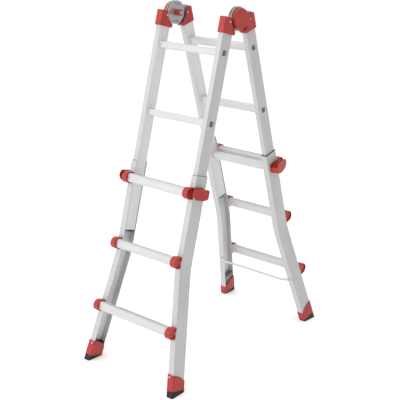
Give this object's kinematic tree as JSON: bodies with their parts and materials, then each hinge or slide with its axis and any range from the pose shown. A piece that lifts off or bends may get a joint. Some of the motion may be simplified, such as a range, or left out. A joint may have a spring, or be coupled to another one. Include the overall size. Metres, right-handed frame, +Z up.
{
  "type": "multi position ladder",
  "caption": "Aluminium multi position ladder standing as an A: telescoping halves with flared legs, locking hinges, pull-handle locks, capped rungs and rubber feet.",
  "frame": {"origin": "on the floor, under the middle of the four feet", "axes": "+X across the ladder, +Y from the front half to the rear half, +Z up"},
  "size_m": [0.5194, 1.0006, 1.4873],
  "materials": {
    "rail_aluminium": "brushed, clear anodised",
    "rung_aluminium": "ribbed extrusion, clear anodised",
    "red_plastic": "fine textured moulding",
    "black_plastic": "satin moulding",
    "black_rubber": "matt rubber",
    "zinc_steel": "zinc plated",
    "bright_steel": "bright zinc plated",
    "spring_steel": "drawn wire"
  },
  "bodies": {
    "front_inner": {"front_inner_rail_left": "rail_aluminium", "front_inner_rail_right": "rail_aluminium", "front_inner_rung_1": "rung_aluminium", "front_inner_rung_2": "rung_aluminium", "front_inner_rung_3": "rung_aluminium", "front_hinge_bracket_left": "zinc_steel", "front_hinge_bracket_right": "zinc_steel", "front_hinge_cap_left": "red_plastic", "front_hinge_cap_right": "red_plastic", "front_inner_rail_plugs": "black_plastic", "front_cap_rivets": "bright_steel"},
    "rear_inner": {"rear_inner_rail_left": "rail_aluminium", "rear_inner_rail_right": "rail_aluminium", "rear_inner_rung_1": "rung_aluminium", "rear_inner_rung_2": "rung_aluminium", "rear_inner_rung_3": "rung_aluminium", "rear_hinge_bracket_left": "zinc_steel", "rear_hinge_bracket_right": "zinc_steel", "rear_hinge_cap_left": "red_plastic", "rear_hinge_cap_right": "red_plastic", "rear_inner_rail_plugs": "black_plastic", "rear_cap_rivets": "bright_steel", "hinge_axles": "zinc_steel", "hinge_springs": "spring_steel"},
    "front_outer": {"front_outer_rail_left": "rail_aluminium", "front_outer_rail_right": "rail_aluminium", "front_outer_rung_1": "rung_aluminium", "front_outer_rung_2": "rung_aluminium", "front_outer_rung_3": "rung_aluminium", "front_rung_caps": "red_plastic", "front_lock_springs": "spring_steel", "front_brace_rod": "bright_steel", "front_rail_glides": "black_plastic", "front_boots": "red_plastic", "front_feet": "black_rubber", "front_leg_rivets": "bright_steel"},
    "front_lock_left": {"front_lock_handle_left": "red_plastic", "front_lock_bolt_left": "zinc_steel"},
    "front_lock_right": {"front_lock_handle_right": "red_plastic", "front_lock_bolt_right": "zinc_steel"},
    "rear_outer": {"rear_outer_rail_left": "rail_aluminium", "rear_outer_rail_right": "rail_aluminium", "rear_outer_rung_1": "rung_aluminium", "rear_outer_rung_2": "rung_aluminium", "rear_outer_rung_3": "rung_aluminium", "rear_rung_caps": "red_plastic", "rear_lock_springs": "spring_steel", "rear_brace_rod": "bright_steel", "rear_rail_glides": "black_plastic", "rear_boots": "red_plastic", "rear_feet": "black_rubber", "rear_leg_rivets": "bright_steel"},
    "rear_lock_left": {"rear_lock_handle_left": "red_plastic", "rear_lock_bolt_left": "zinc_steel"},
    "rear_lock_right": {"rear_lock_handle_right": "red_plastic", "rear_lock_bolt_right": "zinc_steel"},
    "hinge_knob_left": {"hinge_knob_left": "red_plastic", "hinge_lock_plate_left": "zinc_steel"},
    "hinge_knob_right": {"hinge_knob_right": "red_plastic", "hinge_lock_plate_right": "zinc_steel"}
  },
  "joints": [
    {"name": "main_hinge", "type": "hinge", "parent": "front_inner", "child": "rear_inner", "pos_m": [0, 0, 1.4393], "axis": [1, 0, 0], "range_deg": [-31.3, 148.6]},
    {"name": "front_extension", "type": "slide", "parent": "front_inner", "child": "front_outer", "axis": [0, 0.2703, 0.9628], "range_m": [0, 0.56]},
    {"name": "front_lock_pull_left", "type": "slide", "parent": "front_outer", "child": "front_lock_left", "axis": [-1, 0, 0], "range_m": [0, 0.012], "stiffness_N_per_m": 600, "springref_m": -0.01, "deforming": ["front_lock_springs"]},
    {"name": "front_lock_pull_right", "type": "slide", "parent": "front_outer", "child": "front_lock_right", "axis": [1, 0, 0], "range_m": [0, 0.012], "stiffness_N_per_m": 600, "springref_m": -0.01},
    {"name": "rear_extension", "type": "slide", "parent": "rear_inner", "child": "rear_outer", "axis": [0, -0.2703, 0.9628], "range_m": [0, 0.56]},
    {"name": "rear_lock_pull_left", "type": "slide", "parent": "rear_outer", "child": "rear_lock_left", "axis": [-1, 0, 0], "range_m": [0, 0.012], "stiffness_N_per_m": 600, "springref_m": -0.01, "deforming": ["rear_lock_springs"]},
    {"name": "rear_lock_pull_right", "type": "slide", "parent": "rear_outer", "child": "rear_lock_right", "axis": [1, 0, 0], "range_m": [0, 0.012], "stiffness_N_per_m": 600, "springref_m": -0.01},
    {"name": "hinge_release_left", "type": "slide", "parent": "rear_inner", "child": "hinge_knob_left", "axis": [-1, 0, 0], "range_m": [0, 0.0032], "stiffness_N_per_m": 800, "springref_m": -0.006, "deforming": ["hinge_springs"]},
    {"name": "hinge_release_right", "type": "slide", "parent": "rear_inner", "child": "hinge_knob_right", "axis": [1, 0, 0], "range_m": [0, 0.0032], "stiffness_N_per_m": 800, "springref_m": -0.006}
  ]
}
